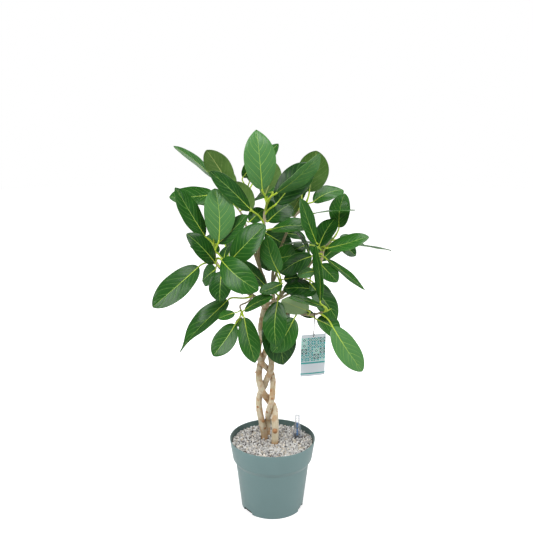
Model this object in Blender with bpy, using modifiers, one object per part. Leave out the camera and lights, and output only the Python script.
"""Potted ficus audrey with a braided trunk, its leaves, mineral substrate, water gauge and hang tag.

The origin is the centre of the pot's foot, +Z is up and the photographed side faces -Y.
Lengths in this script are millimetres. The meshes are made in metres.

The plant was read off one picture of its front. A place on it is therefore written as
(right, up, y): right and up on a view plane that stands VIEW_PLANE from the eye, and the
depth y at which the point lies along that line of sight, negative towards the eye.
"""

import math
import random
from collections import namedtuple

import bmesh
import bpy
from mathutils import Vector

M = 0.001

# The eye that the plant's places are read from.
EYE = Vector((-16.7, -1823.0, 1100.0))
VIEW_PITCH = math.radians(12.5)
VIEW_PLANE = 1750.0

# Pot: a nursery pot with a tall rim band.
RIM_R = 120.0
RIM_Z = 204.0
BAND_R = 111.5
BAND_Z = 148.0
SHOULDER_R = 103.0
SHOULDER_Z = 135.0
FOOT_R = 87.0
WALL = 2.2
FLOOR_T = 2.4
NOTCH_COUNT = 3
NOTCH_FIRST = math.radians(-142.5)
NOTCH_WIDTH = 37.0
NOTCH_HEIGHT = 12.0
NOTCH_ROUND = 0.57
NOTCH_DEPTH = 24.0
POT_SIDES = 36

# Mineral substrate.
SOIL_Z = 189.0
GRAIN = 2.6
SOIL_RINGS = 6
SOIL_SIDES = 32
GAP = 0.4
HOLE_SLACK = 0.5
ROOT_DEPTH = 70.0

# Water gauge.
GAUGE_X = 71.0
GAUGE_Y = 31.0
GAUGE_TOP = 256.0
GAUGE_R = 7.0
GAUGE_WALL = 1.2
SKIRT_TOP = 232.0
SKIRT_R = 13.0
SKIRT_Z = 198.0
SLEEVE_R = 9.5
SLEEVE_Z = 197.0
ROD_R = 2.2
ROD_TOP = 233.0
FLOAT_R = 4.6
FLOAT_H = 34.0
WATER_HOLE_R = 1.5
GAUGE_FOOT = 62.0

# Hang tag, with the middle of its left and right edges as the eye sees them.
TAG_LEFT = (85.9, -223.9, -88)
TAG_RIGHT = (146.6, -218.4, -68)
TAG_H = 114.0
TAG_T = 0.8
TAG_HOLE_R = 2.6
TAG_HOLE_DROP = 7.0
TIE_R = 0.6
TIE_SHARE = 0.54

# Leaves.
BLADE_T = 1.0
BLADE_ROWS = 5
PETIOLE_R = 1.6
PETIOLE_INTO_BLADE = 0.16
TWIG_TIP_R = 0.6

# Faces that meet at less than this are shaded as one round surface.
SHARP_ANGLE = math.radians(40)

Leaf = namedtuple(
    "Leaf", "at base tip width turn arch fold bend twist point", defaults=(7.0, 10.0, 0.0, 0.0, 0.0)
)
Shoot = namedtuple("Shoot", "strand route twig leaves radius", defaults=(3.0,))

# The three strands of the braid, from the substrate up: places, then radius at foot and top.
STRANDS = {
    "a": (
        [(-5, -425, 24), (-10, -395, 18), (-16, -368, 14), (-19, -344, 13), (-18, -326, 16),
         (-13, -311, 20), (-6, -299, 18), (-1, -286, 10), (4, -275, 2), (9, -264, -3),
         (12, -250, 0), (12, -234, 8), (9, -214, 17), (3, -201, 17), (-3, -188, 6),
         (-10, -174, -4), (-14, -158, -7), (-13, -140, -7), (-9, -120, -8), (-5, -102, -8)],
        8.3, 6.8,
    ),
    "b": (
        [(21, -437, -4), (22, -409, -4), (21, -384, 1), (20, -367, 8), (18, -352, 17),
         (9, -339, 18), (-1, -326, 8), (-10, -313, -2), (-15, -297, -5), (-18, -284, -4),
         (-19, -271, 0), (-18, -259, 8), (-16, -246, 17), (-12, -234, 19), (-7, -223, 11),
         (-2, -212, 1), (4, -200, -4), (11, -186, -4), (16, -170, 1), (14, -156, 9),
         (6, -140, 15), (1, -124, 19), (1, -110, 20)],
        9.4, 6.8,
    ),
    "c": (
        [(2, -424, 44), (3, -396, 34), (4, -374, 16), (5, -361, 3), (9, -348, -5),
         (13, -333, -6), (15, -316, -3), (16, -299, 2), (16, -284, 10), (14, -271, 19),
         (8, -261, 20), (2, -254, 13), (-5, -248, 4), (-11, -241, -4), (-17, -231, -7),
         (-19, -218, -3), (-20, -204, 4), (-18, -190, 10), (-12, -174, 15), (-4, -158, 10),
         (4, -142, -4), (10, -126, -7), (16, -108, -4)],
        7.4, 6.6,
    ),
}

# Leafy shoots. The route runs on the strand's wood to the shoot's foot, and the twig on from it.
# A leaf's turn is about its own length: 0 shows the eye its face, 90 its edge, 180 its back.
SHOOTS = {
    "crown": Shoot(
        "b", [(1, -110, 20), (2, -80, 16), (-4, -40, 12), (-16, -6, 10), (-21, 28, 9), (-17, 55, 8)],
        [(-9, 76, 6), (-6, 104, 3), (-5, 131, -1), (1, 158, -6), (2, 177, -8)],
        [
            Leaf(0.86, (-11, 193, -20), (-25, 342, -4), 84, 8, 8, 8, point=0.5),
            Leaf(0.30, (-41, 143, -32), (-141, 237, -64), 78, 55, 6, 4, -2.5),
            Leaf(0.52, (26, 158, -22), (114, 258, 22), 80, -15, 8, 12),
            Leaf(0.86, (28, 185, -34), (134, 280, -66), 80, 60, 6, 15),
            Leaf(0.05, (13, 93, -32), (111, 99, -70), 72, -60, 4, 8, -3),
            Leaf(0.40, (4, 113, 24), (60, 156, 70), 80, -30),
            Leaf(0.70, (14, 186, 16), (-32, 168, 108), 66, 68, 5, 8),
            Leaf(0.76, (-4, 176, 24), (22, 258, 66), 58, 165, 6, 6),
        ],
        4.0,
    ),
    "left": Shoot(
        "a", [(-5, -102, -8), (-16, -86, -12), (-32, -74, -16), (-62, -52, -34), (-96, -22, -56)],
        [(-118, -2, -68), (-127, 14, -73), (-130, 35, -77), (-132, 53, -79), (-132, 72, -80)],
        [
            Leaf(0.78, (-154, 76, -92), (-227, 198, -112), 76, 49, 6, 4, -6, point=0.4),
            Leaf(0.50, (-119, 66, -92), (-129, 195, -64), 80, 10, 6, 10, 5),
            Leaf(0.72, (-118, 60, -68), (-47, 129, -84), 66, -51, 5, 8, 5, point=0.4),
            Leaf(0.30, (-90, 15, -104), (-4, 103, -150), 78, -34, 9, 6, 4),
            Leaf(0.34, (-129, 10, -98), (-197, 81, -172), 52, 28, 6, 8),
            Leaf(0.14, (-170, -1, -100), (-285, -101, -124), 71, 22, 8, 8, -4),
            Leaf(0.22, (-112, 15, -124), (-22, -60, -200), 74, 18, 10, 6, 2),
            Leaf(0.56, (-106, 20, -60), (-92, 56, -12), 40, -55, 4, 8),
            Leaf(0.10, (-112, -12, -96), (-117, -88, -118), 60, 16, 5, 8),
            Leaf(0.10, (-128, -8, -46), (-160, -36, 24), 56, 40, 2, 8),
        ],
        4.0,
    ),
    "right": Shoot(
        "c", [(16, -108, -4), (26, -84, -8), (44, -62, -10), (70, -42, -16), (100, -20, -26), (122, -6, -34)],
        [(134, 6, -38), (139, 24, -42), (143, 46, -47), (147, 62, -50)],
        [
            Leaf(0.75, (124, 60, -64), (86, 170, -108), 66, 57, 5, 5, -6, point=0.4),
            Leaf(0.80, (131, 50, -66), (172, 121, -10), 58, -33, 6, 10, -1),
            Leaf(0.60, (154, 46, -74), (255, 76, -96), 68, -56, 2, 6, 4),
            Leaf(0.66, (119, 60, -44), (38, 56, -10), 52, 84, 1, 6),
            Leaf(0.12, (135, 6, -62), (177, -38, -98), 48, -25, 5, 8, 2),
            Leaf(0.35, (152, 17, -56), (246, -58, -64), 56, -70, 5, 8, 4, point=0.5),
            Leaf(0.42, (113, 26, -78), (34, -17, -104), 66, -44, 5, 14, 9),
            Leaf(0.30, (108, 30, -56), (77, 85, -50), 46, 76, 4, 8),
            Leaf(0.20, (111, -44, -58), (177, -133, -38), 62, -27, 5, 8),
            Leaf(0.16, (124, -59, -54), (42, -56, -66), 68, 45, 6, 6),
            Leaf(0.10, (119, -12, -56), (78, -22, -66), 34, 30, 3, 8),
        ],
        3.4,
    ),
    "lower_right": Shoot(
        "c", [(13, -128, -6), (26, -126, -20), (46, -119, -40)],
        [(68, -114, -58), (96, -120, -68), (117, -120, -74), (134, -116, -79), (149, -111, -84),
         (163, -105, -88)],
        [
            Leaf(0.66, (166, -152, -106), (240, -262, -132), 63, -14, 7, 8, 4),
            Leaf(0.38, (127, -133, -58), (188, -176, -16), 62, -36, 5, 8, -3),
            Leaf(0.36, (103, -110, -96), (38, -84, -110), 66, 140, 5, 6, -4),
            Leaf(0.80, (141, -100, -104), (57, -77, -130), 54, 70, 3, 4),
            Leaf(0.06, (69, -130, -80), (16, -215, -112), 68, -25, 6, 8, -1),
            Leaf(0.12, (77, -112, -40), (121, -121, -6), 28, -30, 3, 8, 2),
            Leaf(0.86, (134, -85, -122), (119, 52, -126), 62, -68, 3, 12, 9),
        ],
        3.4,
    ),
    "lower_centre": Shoot(
        "a", [(-5, -102, -8), (6, -93, -26)],
        [(17, -88, -44), (28, -84, -62), (34, -68, -75), (36, -46, -84), (37, -33, -87)],
        [
            Leaf(0.86, (30, -14, -112), (0, 75, -112), 54, -24, 5, 8, -3),
            Leaf(0.78, (18, 20, -70), (73, 30, -40), 66, 15, 4, 12),
            Leaf(0.82, (38, -43, -102), (-17, -65, -126), 46, 46, 3, 8, -4),
            Leaf(0.45, (28, -88, -104), (24, -201, -142), 62, 6, 6, 8, 5),
            Leaf(0.10, (10, -126, -54), (43, -246, -78), 90, -10, 12, 6, -3, point=0.3),
            Leaf(0.40, (-2, -50, -56), (-71, 11, -76), 60, 58, 5, 8),
            Leaf(0.95, (44, -32, -52), (82, -26, -49), 30, -8, 2, 4),
        ],
        3.2,
    ),
    "lower_left": Shoot(
        "a", [(-28, -76, -10), (-32, -73, -20)],
        [(-34, -72, -28), (-42, -84, -44), (-52, -91, -60), (-66, -98, -75), (-62, -113, -85), (-60, -118, -87)],
        [
            Leaf(0.86, (-80, -116, -96), (-120, -130, -112), 30, 33, 2, 8),
            Leaf(0.92, (-78, -145, -98), (-134, -223, -122), 63, 26, 6, 8, -5),
            Leaf(0.80, (-62, -128, -74), (-75, -150, -64), 18, 0, 2, 8),
            Leaf(0.96, (-56, -128, -102), (-27, -241, -118), 59, -22, 6, 8, 5, point=0.4),
            Leaf(0.90, (-55, -109, -106), (15, -76, -140), 44, -50, 5, 8),
            Leaf(0.04, (-97, -84, -50), (-218, -212, -76), 84, 32, 10, 20, -4, 45, point=1.5),
        ],
        2.6,
    ),
    "upper_left": Shoot(
        "b", [(-16, -6, 10), (-26, 20, 24), (-36, 52, 34)],
        [(-46, 84, 38), (-56, 116, 42), (-68, 140, 46), (-90, 165, 52), (-98, 176, 55)],
        [
            Leaf(0.55, (-37, 142, 30), (-82, 212, 34), 56, 150, 5, 8),
            Leaf(0.86, (-91, 199, 28), (-150, 291, 6), 68, 160, 7, 6),
            Leaf(0.92, (-134, 222, 66), (-232, 301, 60), 62, 69, 5, 8),
            Leaf(0.84, (-131, 180, 46), (-243, 175, 34), 66, 40, 1, 8, -4),
            Leaf(0.50, (-42, 112, 42), (-6, 144, 62), 44, -20, 3, 8),
            Leaf(0.24, (-84, 104, 78), (-140, 128, 158), 66, 60, 8, 8),
            Leaf(0.74, (-112, 150, 84), (-178, 162, 170), 68, 60, 8, 8),
            Leaf(0.05, (-16, 56, 46), (8, -12, 52), 44, 20, 5, 8),
        ],
    ),
    "upper_right": Shoot(
        "c", [(16, -108, -4), (17, -80, 6), (15, -40, 14), (18, -4, 22), (34, 44, 32), (52, 88, 38)],
        [(64, 112, 41), (72, 126, 42), (88, 146, 44), (99, 159, 46), (104, 170, 47)],
        [
            Leaf(0.84, (107, 187, 60), (125, 289, 62), 86, 172, 6, 8, -1),
            Leaf(0.72, (118, 162, 46), (192, 191, 74), 66, -50, 5, 8, -4),
            Leaf(0.56, (118, 133, -8), (221, 141, -30), 62, -87, 3, 3),
            Leaf(0.40, (88, 180, 92), (96, 238, 178), 66, -20, 8, 8),
        ],
    ),
    "mid_rear": Shoot(
        "c", [(15, -40, 14), (24, -20, 40), (38, 30, 66), (44, 70, 74)],
        [(47, 90, 76), (49, 118, 78), (50, 134, 79), (51, 142, 80)],
        [
            Leaf(0.70, (56, 126, 92), (86, 176, 112), 44, 170, 4, 8),
            Leaf(0.40, (44, 82, 94), (98, 72, 100), 50, -56, 4, 8),
            Leaf(0.60, (36, 140, 110), (14, 196, 170), 66, 30, 7, 8),
            Leaf(0.20, (68, 150, 116), (82, 198, 212), 66, -30, 8, 8),
            Leaf(0.06, (-2, 84, 60), (63, 47, 54), 62, 20, 3, 6),
        ],
    ),
    "top_rear": Shoot(
        "b", [(-17, 55, 8), (-24, 80, 44), (-34, 112, 72)],
        [(-40, 136, 80), (-45, 165, 86), (-48, 190, 90), (-49, 202, 92)],
        [
            Leaf(0.80, (-59, 223, 98), (-12, 290, 112), 44, 20, 4, 8),
            Leaf(0.84, (-34, 226, 86), (29, 307, 92), 44, -30, 4, 8),
            Leaf(0.50, (-76, 198, 116), (-132, 246, 176), 58, 150, 6, 8),
            Leaf(0.60, (-34, 210, 130), (-20, 258, 228), 72, 0, 8, 8),
        ],
    ),
    "right_rear": Shoot(
        "c", [(70, -42, -16), (92, -16, 4), (116, 14, 18)],
        [(134, 34, 22), (152, 54, 24), (170, 74, 24), (178, 84, 24)],
        [
            Leaf(0.86, (181, 98, 30), (194, 182, 26), 60, -20, 5, 8, -3),
            Leaf(0.62, (186, 64, 36), (312, 43, 62), 64, -86, -2, 3),
            Leaf(0.24, (184, 60, 6), (223, 27, 2), 36, -20, 3, 8),
            Leaf(0.40, (188, 62, 76), (236, 60, 158), 60, -62, 6, 8),
            Leaf(0.10, (97, 52, 8), (62, 36, -10), 38, 40, 3, 8),
        ],
    ),
    "rear_left": Shoot(
        "a", [(-16, -86, -12), (-40, -72, 16), (-66, -52, 60)],
        [(-84, -34, 96), (-92, -14, 124), (-96, 8, 140), (-98, 22, 146)],
        [
            Leaf(0.86, (-122, 34, 160), (-186, 58, 232), 68, 50, 6, 8),
            Leaf(0.80, (-92, 40, 176), (-62, 66, 286), 74, -20, 8, 8),
            Leaf(0.50, (-72, -10, 166), (-44, 0, 280), 70, -30, 8, 8),
            Leaf(0.40, (-108, -30, 150), (-136, -54, 240), 64, 30, 7, 8),
            Leaf(0.70, (-106, 58, 158), (-138, 84, 258), 66, 30, 7, 8),
            Leaf(0.10, (-66, -44, 110), (-52, -58, 190), 44, -20, 5, 8),
        ],
    ),
    "rear_right": Shoot(
        "c", [(26, -84, -8), (44, -74, 40), (66, -62, 84)],
        [(84, -48, 116), (98, -28, 138), (104, -8, 150), (106, 4, 156)],
        [
            Leaf(0.86, (122, 28, 172), (152, 88, 246), 66, -30, 7, 8),
            Leaf(0.80, (88, 24, 186), (58, 40, 290), 70, 30, 8, 8),
            Leaf(0.50, (78, -22, 170), (52, -40, 270), 66, 20, 8, 8),
            Leaf(0.40, (122, -46, 140), (158, -108, 196), 64, -40, 6, 8),
            Leaf(0.10, (90, -74, 134), (68, -94, 230), 60, 20, 8, 8),
            Leaf(0.60, (138, 14, 150), (196, 58, 224), 60, -50, 7, 8),
        ],
    ),
    "rear_low": Shoot(
        "b", [(1, -110, 20), (0, -108, 50), (-2, -106, 84)],
        [(-3, -100, 110), (-5, -90, 132), (-6, -72, 146), (-6, -60, 150)],
        [
            Leaf(0.86, (-16, -48, 172), (-44, -22, 276), 66, 30, 8, 8),
            Leaf(0.50, (22, -108, 158), (40, -150, 262), 70, -20, 8, 8),
            Leaf(0.30, (10, -136, 150), (20, -206, 238), 68, 10, 8, 8),
        ],
        2.6,
    ),
}

# Colours: red, green and blue, then roughness.
FINISHES = {
    "pot": ((0.17, 0.29, 0.28), 0.5),
    "substrate": ((0.62, 0.58, 0.54), 0.95),
    "bark": ((0.62, 0.52, 0.36), 0.8),
    "leaf": ((0.035, 0.12, 0.03), 0.35),
    "clear": ((0.85, 0.88, 0.9), 0.1),
    "blue": ((0.01, 0.13, 0.45), 0.4),
    "black": ((0.02, 0.02, 0.02), 0.5),
    "card": ((0.75, 0.85, 0.85), 0.5),
}


def seen(place):
    """The point in millimetres that the eye sees at (right, up) of the view plane, at depth y."""
    right, up, y = place
    ahead = Vector((0, math.cos(VIEW_PITCH), -math.sin(VIEW_PITCH)))
    upward = Vector((0, math.sin(VIEW_PITCH), math.cos(VIEW_PITCH)))
    ray = Vector((right, 0, 0)) + upward * up + ahead * VIEW_PLANE
    return EYE + ray * ((y - EYE.y) / ray.y)


def clear_scene():
    for obj in list(bpy.data.objects):
        bpy.data.objects.remove(obj)


def collection(name):
    made = bpy.data.collections.new(name)
    bpy.context.scene.collection.children.link(made)
    return made


def cutters():
    """The collection that holds a cutter until its cut is applied."""
    return bpy.data.collections.get("cutters") or collection("cutters")


def finish(name):
    """The Principled material of one finish, made once."""
    found = bpy.data.materials.get(name)
    if found:
        return found
    colour, roughness = FINISHES[name]
    made = bpy.data.materials.new(name)
    made.use_nodes = True
    shader = made.node_tree.nodes["Principled BSDF"]
    shader.inputs["Base Color"].default_value = (*colour, 1)
    shader.inputs["Roughness"].default_value = roughness
    shader.inputs["Metallic"].default_value = 0.0
    return made


def add_mesh(name, bm, where, material):
    """An object from a bmesh drawn in millimetres, with its normals facing out."""
    bmesh.ops.recalc_face_normals(bm, faces=bm.faces)
    bmesh.ops.scale(bm, vec=(M, M, M), verts=bm.verts)
    mesh = bpy.data.meshes.new(name)
    bm.to_mesh(mesh)
    bm.free()
    obj = bpy.data.objects.new(name, mesh)
    obj.data.materials.append(finish(material))
    where.objects.link(obj)
    return obj


def evaluated(obj):
    """A new mesh of the object with its modifiers applied."""
    bpy.context.view_layer.update()
    graph = bpy.context.evaluated_depsgraph_get()
    return bpy.data.meshes.new_from_object(obj.evaluated_get(graph))


def applied(obj):
    """Bakes the object's modifiers into its mesh."""
    mesh = evaluated(obj)
    obj.modifiers.clear()
    obj.data = mesh
    return obj


def smooth(points, steps):
    """Points on a Catmull-Rom curve through the given ones, steps to a span."""
    ends = [2 * points[0] - points[1], *points, 2 * points[-1] - points[-2]]
    made = []
    for a, b, c, d in zip(ends, ends[1:], ends[2:], ends[3:]):
        for k in range(steps):
            t = k / steps
            made.append(
                0.5 * (2 * b + (c - a) * t + (2 * a - 5 * b + 4 * c - d) * t * t
                       + (3 * b - a - 3 * c + d) * t ** 3)
            )
    return [*made, points[-1]]


def tube(name, points, radii, where, material, sides=6, closed=False):
    """A tube along points with a radius for each, capped or a closed ring: a bevelled curve made a mesh."""
    curve = bpy.data.curves.new(name, "CURVE")
    curve.dimensions = "3D"
    curve.bevel_depth = M
    curve.bevel_resolution = (sides - 4) // 2
    curve.use_fill_caps = True
    spline = curve.splines.new("POLY")
    spline.use_cyclic_u = closed
    spline.points.add(len(points) - 1)
    for spot, point, radius in zip(spline.points, points, radii):
        spot.co = (*(point * M), 1)
        spot.radius = radius
    drawn = bpy.data.objects.new(name, curve)
    where.objects.link(drawn)
    mesh = evaluated(drawn)
    bpy.data.objects.remove(drawn)
    bm = bmesh.new()
    bm.from_mesh(mesh)
    bmesh.ops.remove_doubles(bm, verts=bm.verts, dist=1e-6)
    bmesh.ops.scale(bm, vec=(1 / M,) * 3, verts=bm.verts)
    return add_mesh(name, bm, where, material)


def loose_parts(bm):
    """The vertices of each connected part of a bmesh."""
    left = set(bm.verts)
    parts = []
    while left:
        part = set()
        edge = [left.pop()]
        while edge:
            vert = edge.pop()
            part.add(vert)
            for link in vert.link_edges:
                other = link.other_vert(vert)
                if other in left:
                    left.discard(other)
                    edge.append(other)
        parts.append(part)
    return parts


def keep_largest(obj):
    """Fills a hollow that fusing sealed and drops a loose scrap, by keeping the largest part."""
    bm = bmesh.new()
    bm.from_mesh(obj.data)
    parts = sorted(loose_parts(bm), key=len)
    bmesh.ops.delete(bm, geom=[v for part in parts[:-1] for v in part], context="VERTS")
    bm.to_mesh(obj.data)
    bm.free()
    return len(parts) - 1


def fuse(body, extras):
    """Joins every object of the collection extras to body, then removes them."""
    joined = body.modifiers.new("Join", "BOOLEAN")
    joined.operation = "UNION"
    joined.operand_type = "COLLECTION"
    joined.collection = extras
    joined.solver = "MANIFOLD"
    applied(body)
    for obj in list(extras.objects):
        bpy.data.objects.remove(obj)
    bpy.data.collections.remove(extras)
    keep_largest(body)
    return body


def cut(body, cutter):
    """Takes cutter's shape out of body, then removes the cutter."""
    cutter.hide_render = True
    cutter.display_type = "WIRE"
    taken = body.modifiers.new("Cut", "BOOLEAN")
    taken.operation = "DIFFERENCE"
    taken.object = cutter
    taken.solver = "MANIFOLD"
    applied(body)
    bpy.data.objects.remove(cutter)
    return body


def turned(name, profile, where, material, sides=POT_SIDES):
    """A turned solid from a closed profile of (radius, height), run down its outer side."""
    bm = bmesh.new()
    corners = [bm.verts.new((r, 0, z)) for r, z in profile]
    for one, other in zip(corners, corners[1:] + corners[:1]):
        if one.co.x > 0 or other.co.x > 0:
            bm.edges.new((one, other))
    for corner in corners:
        corner.co *= M
    mesh = bpy.data.meshes.new(name)
    bm.to_mesh(mesh)
    bm.free()
    obj = bpy.data.objects.new(name, mesh)
    where.objects.link(obj)
    screw = obj.modifiers.new("Turn", "SCREW")
    screw.steps = sides
    screw.render_steps = sides
    screw.use_merge_vertices = True
    screw.merge_threshold = 1e-6
    obj.data.materials.append(finish(material))
    applied(obj)
    return obj


def cylinder(name, radius, low, high):
    """A plain cutter for a round hole."""
    bm = bmesh.new()
    bmesh.ops.create_cone(
        bm, cap_ends=True, segments=20, radius1=radius, radius2=radius, depth=high - low
    )
    bmesh.ops.translate(bm, vec=(0, 0, (low + high) / 2), verts=bm.verts)
    return add_mesh(name, bm, cutters(), "substrate")


def outline(t, point):
    """The blade's width at t of its length, as a share of its greatest: ovate, its tip blunt at point 0."""
    return (4 * t * (1 - t)) ** (0.5 + (0.16 + 0.35 * point) * t) if 0 < t < 1 else 0.0


def blade_frame(leaf):
    """The blade's base and tip, its direction, the way to the eye across it, and the side clockwise of it."""
    base, tip = seen(leaf.base), seen(leaf.tip)
    along = (tip - base).normalized()
    toward = EYE - (base + tip) / 2
    toward = (toward - along * toward.dot(along)).normalized()
    return base, tip, along, toward, along.cross(toward)


def blade_point(leaf, t, s):
    """A point of the blade's middle surface, t along it from its base and s across it from -1 to 1."""
    base, tip, _, toward, clockwise = blade_frame(leaf)
    turn = math.radians(leaf.turn + leaf.twist * t)
    face = toward * math.cos(turn) + clockwise * math.sin(turn)
    side = clockwise * math.cos(turn) - toward * math.sin(turn)
    fold = math.radians(leaf.fold)
    reach = s * leaf.width / 2 * outline(t, leaf.point)
    bow = math.sin(math.pi * t)
    lift = face * (leaf.arch * bow + abs(reach) * math.sin(fold))
    return base.lerp(tip, t) + lift + side * reach * math.cos(fold) + clockwise * leaf.bend * bow


def blade(name, leaf, where):
    """One leaf blade: a grid laid on the blade's surface, then given its thickness."""
    bm = bmesh.new()
    bmesh.ops.create_grid(bm, x_segments=BLADE_ROWS, y_segments=2, size=1)
    for vert in bm.verts:
        t = (1 - math.cos(math.pi * (vert.co.x + 1) / 2)) / 2
        vert.co = blade_point(leaf, t, vert.co.y)
    bmesh.ops.remove_doubles(bm, verts=bm.verts, dist=1e-3)
    bmesh.ops.triangulate(bm, faces=bm.faces)
    obj = add_mesh(name, bm, where, "leaf")
    thick = obj.modifiers.new("Thickness", "SOLIDIFY")
    thick.thickness = BLADE_T * M
    thick.offset = 0
    return applied(obj)


def point_at(points, share):
    """The point at a share of a polyline's length, and the direction there."""
    steps = [(b - a).length for a, b in zip(points, points[1:])]
    left = share * sum(steps)
    for a, b, step in zip(points, points[1:], steps):
        if left <= step:
            return a.lerp(b, left / step), (b - a).normalized()
        left -= step
    return points[-1], (points[-1] - points[-2]).normalized()


def petiole(name, leaf, twig, where):
    """The leaf stalk, from the twig's axis to a slim end inside the blade."""
    start, ahead = point_at(twig, leaf.at)
    base = seen(leaf.base)
    inside = blade_point(leaf, PETIOLE_INTO_BLADE, 0)
    span = (base - start).length
    leave = start + ((base - start).normalized() + ahead * 0.5) * span * 0.4
    arrive = base - (inside - base).normalized() * span * 0.3
    middle = 0.1 * start + 0.3 * leave + 0.45 * arrive + 0.15 * base
    return tube(name, [start, middle, inside], [PETIOLE_R, PETIOLE_R, 0.35], where, "leaf", 4)


def twig_points(shoot):
    return smooth([seen(p) for p in shoot.twig], 2)


def foot_direction(shoot):
    """The direction in which the wood passes into the shoot."""
    return (seen(shoot.twig[1]) - seen(shoot.route[-1])).normalized()


def build_shoot(name, shoot, where):
    """A leafy shoot: its twig with the bud, and each leaf stalk and blade, fused in one."""
    extras = collection(name + " pieces")
    twig = twig_points(shoot)
    ahead = foot_direction(shoot)
    foot = twig[0] + ahead * GAP
    points = [foot, foot + ahead * 3, *twig[2:]]
    last = len(points) - 1
    radii = [shoot.radius * (1 - 0.25 * k / last) for k in range(last)] + [TWIG_TIP_R]
    body = tube("shoot_" + name, points, radii, where, "leaf")
    for k, leaf in enumerate(shoot.leaves):
        blade(f"blade {k}", leaf, extras)
        petiole(f"stalk {k}", leaf, twig, extras)
    return fuse(body, extras)


def strand_points(name):
    """The strand's centreline in millimetres, from the bottom of its hole up."""
    places, *_ = STRANDS[name]
    above = [seen(p) for p in places]
    foot = above[0]
    return [foot - Vector((0, 0, ROOT_DEPTH)), foot - Vector((0, 0, ROOT_DEPTH / 2)), *above]


def strand_radii(name, count):
    """Radius at each point: even taper, with a slight swelling at every fourth point."""
    _, foot, top = STRANDS[name]
    return [foot + (top - foot) * k / (count - 1) + (0.5 if k % 4 == 2 else 0) for k in range(count)]


def build_strand(name, where):
    """One plant of the braid: its stem, and the wood of the branches that it carries."""
    extras = collection("branches of " + name)
    points = strand_points(name)
    body = tube("stem_" + name, points, strand_radii(name, len(points)), where, "bark", 8)
    for key, shoot in SHOOTS.items():
        if shoot.strand != name:
            continue
        route = [seen(p) for p in shoot.route]
        ahead = foot_direction(shoot)
        foot = seen(shoot.twig[0])
        points = [*route, foot - ahead * 3, foot]
        last = len(points) - 1
        thick = STRANDS[name][2] if route[0] == strand_points(name)[-1] else shoot.radius + 1.6
        radii = [thick + (shoot.radius - thick) * k / last for k in range(last + 1)]
        tube("branch " + key, points, radii, extras, "bark", 6)
    return fuse(body, extras)


def build_pot(where):
    """The pot: a tapered wall with a flat floor and a tall band at the rim, and drain arches at its foot."""
    outer = [(RIM_R, RIM_Z), (BAND_R, BAND_Z), (SHOULDER_R, SHOULDER_Z), (FOOT_R, 0), (0, 0)]
    inner = [
        (0, FLOOR_T), (FOOT_R - WALL, FLOOR_T), (SHOULDER_R - WALL, SHOULDER_Z),
        (BAND_R - WALL, BAND_Z), (RIM_R - WALL, RIM_Z),
    ]
    pot = turned("pot", outer + inner, where, "pot")
    for k in range(NOTCH_COUNT):
        angle = NOTCH_FIRST + k * math.tau / NOTCH_COUNT
        out = Vector((math.cos(angle), math.sin(angle), 0))
        bm = bmesh.new()
        bmesh.ops.create_cone(bm, cap_ends=True, segments=20, radius1=0.5, radius2=0.5, depth=NOTCH_DEPTH)
        for vert in bm.verts:
            x, y, z = vert.co
            x, y = (math.copysign(abs(2 * v) ** NOTCH_ROUND, v) for v in (x, y))
            wide, high = x * NOTCH_WIDTH / 2, y * NOTCH_HEIGHT
            vert.co = out * (FOOT_R + z) + Vector((-out.y, out.x, 0)) * wide + Vector((0, 0, high))
        cut(pot, add_mesh("notch", bm, cutters(), "pot"))
    return pot


def build_soil(where):
    """The mineral filling, with its grains as relief on top and plain holes for what stands in it."""
    low = FLOOR_T + GAP
    level = (SOIL_Z - BAND_Z) / (RIM_Z - BAND_Z)
    inset = WALL + GAP * 1.5
    top_r = BAND_R + (RIM_R - BAND_R) * level - inset
    rings = [(top_r * (k + 0.4) / (SOIL_RINGS - 0.6), SOIL_Z) for k in range(SOIL_RINGS)]
    wall = [(BAND_R - inset, BAND_Z), (SHOULDER_R - inset, SHOULDER_Z), (FOOT_R - inset, low), (0, low)]
    soil = turned("substrate", [(0, SOIL_Z), *rings, *wall], where, "substrate", SOIL_SIDES)
    draw = random.Random(7)
    for vert in soil.data.vertices:
        inner = vert.co.xy.length < (top_r - 2) * M
        if vert.co.z > (SOIL_Z - 1) * M and inner:
            vert.co.z += draw.uniform(-GRAIN, GRAIN) * M
            vert.co.x += draw.uniform(-1, 1) * M
            vert.co.y += draw.uniform(-1, 1) * M
    for name in STRANDS:
        points = strand_points(name)[:5]
        radii = [r + HOLE_SLACK for r in strand_radii(name, len(strand_points(name)))[:5]]
        points[0] = points[0] - Vector((0, 0, GAP))
        cut(soil, tube("hole", points, radii, cutters(), "substrate", 8))
    socket = cylinder("hole", SLEEVE_R + HOLE_SLACK, GAUGE_FOOT - GAP, RIM_Z)
    cut(soil, moved(socket, GAUGE_X, GAUGE_Y))
    return soil


def moved(obj, x, y):
    """Shifts a part's mesh sideways, so that every origin stays at the pot's centre."""
    for vert in obj.data.vertices:
        vert.co.x += x * M
        vert.co.y += y * M
    return obj


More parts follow.
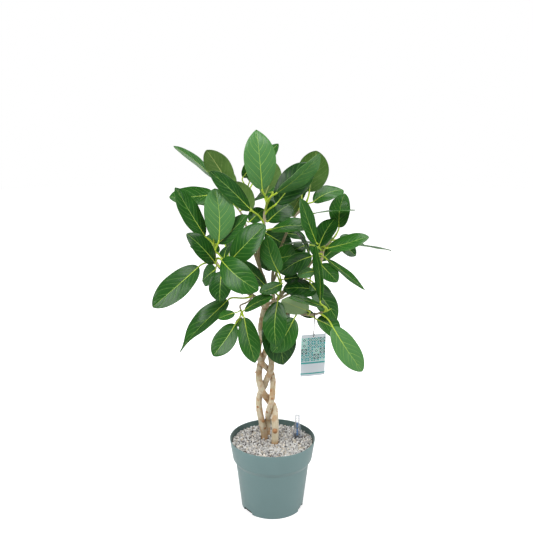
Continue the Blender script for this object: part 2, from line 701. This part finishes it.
def build_gauge(where):
    """The water gauge: a dark sleeve in the substrate, the clear tube in it and the float inside."""
    inner_r = GAUGE_R + GAP
    sleeve = [(SLEEVE_R, SLEEVE_Z), (SLEEVE_R, GAUGE_FOOT), (inner_r, GAUGE_FOOT), (inner_r, SLEEVE_Z)]
    moved(turned("gauge_sleeve", sleeve, where, "black", 20), GAUGE_X, GAUGE_Y)
    bore = GAUGE_R - GAUGE_WALL
    floor = GAUGE_FOOT + 2
    clear = [
        (0, GAUGE_TOP), (GAUGE_R, GAUGE_TOP), (GAUGE_R, SKIRT_TOP), (SKIRT_R, SKIRT_Z),
        (SKIRT_R - GAUGE_WALL, SKIRT_Z), (GAUGE_R, SKIRT_TOP - 8), (GAUGE_R, GAUGE_FOOT),
        (WATER_HOLE_R, GAUGE_FOOT), (WATER_HOLE_R, floor), (bore, floor),
        (bore, GAUGE_TOP - GAUGE_WALL), (0, GAUGE_TOP - GAUGE_WALL),
    ]
    moved(turned("gauge_tube", clear, where, "clear", 20), GAUGE_X, GAUGE_Y)
    rest = floor + GAP
    rod = [
        (0, ROD_TOP), (ROD_R, ROD_TOP - 1), (ROD_R, rest + FLOAT_H), (FLOAT_R, rest + FLOAT_H - 3),
        (FLOAT_R, rest), (0, rest),
    ]
    moved(turned("gauge_float", rod, where, "blue", 12), GAUGE_X, GAUGE_Y)


def tag_frame():
    """The card's centre, its half width across, its direction up and its normal towards the rear."""
    left, right = seen(TAG_LEFT), seen(TAG_RIGHT)
    across = (right - left) / 2
    up = Vector((0, 0, 1))
    up = (up - across * (up.dot(across) / across.length_squared)).normalized()
    return (left + right) / 2, across, up, up.cross(across.normalized())


def build_tag(where):
    """The hang tag: a card with a hole, and the tie that loops through it and over the twig."""
    centre, across, up, rear = tag_frame()
    bm = bmesh.new()
    bmesh.ops.create_cube(bm, size=1)
    for vert in bm.verts:
        x, y, z = vert.co
        vert.co = centre + across * x * 2 + rear * y * TAG_T + up * z * TAG_H
    card = add_mesh("tag_card", bm, where, "card")
    hole = centre + up * (TAG_H / 2 - TAG_HOLE_DROP)
    cut(card, tube("punch", [hole - rear * 3, hole + rear * 3], [TAG_HOLE_R] * 2, cutters(), "card", 12))
    shoot = SHOOTS["lower_right"]
    twig, ahead = point_at(twig_points(shoot), TIE_SHARE)
    behind = Vector((0, 0, 1)).cross(ahead).normalized()
    above = ahead.cross(behind)
    round_twig = shoot.radius + GAP + TIE_R
    low = hole + up * (TAG_HOLE_R - TIE_R - GAP)
    path = [low - rear * 1.2 - up * 0.3, low + rear * 1.2 - up * 0.3, low + rear * 2.2 + up]
    path += [twig + (behind * math.cos(a) + above * math.sin(a)) * round_twig
             for a in (math.radians(step * 45 - 22.5) for step in range(6))]
    path += [low - rear * 2.2 + up]
    tube("tag_tie", path, [TIE_R] * len(path), where, "black", 4, closed=True)


def dress(where):
    """Gives each part a material of its own and shades its round faces smooth."""
    for obj in where.objects:
        own = obj.data.materials[0].copy()
        own.name = obj.name
        obj.data.materials.clear()
        obj.data.materials.append(own)
        obj.data.shade_smooth()
        obj.data.set_sharp_from_angle(angle=SHARP_ANGLE)


def main():
    clear_scene()
    where = collection("ficus_audrey")
    build_pot(where)
    build_soil(where)
    for name in STRANDS:
        build_strand(name, where)
    for name, shoot in SHOOTS.items():
        build_shoot(name, shoot, where)
    build_gauge(where)
    build_tag(where)
    dress(where)


if __name__ == "__main__":
    main()
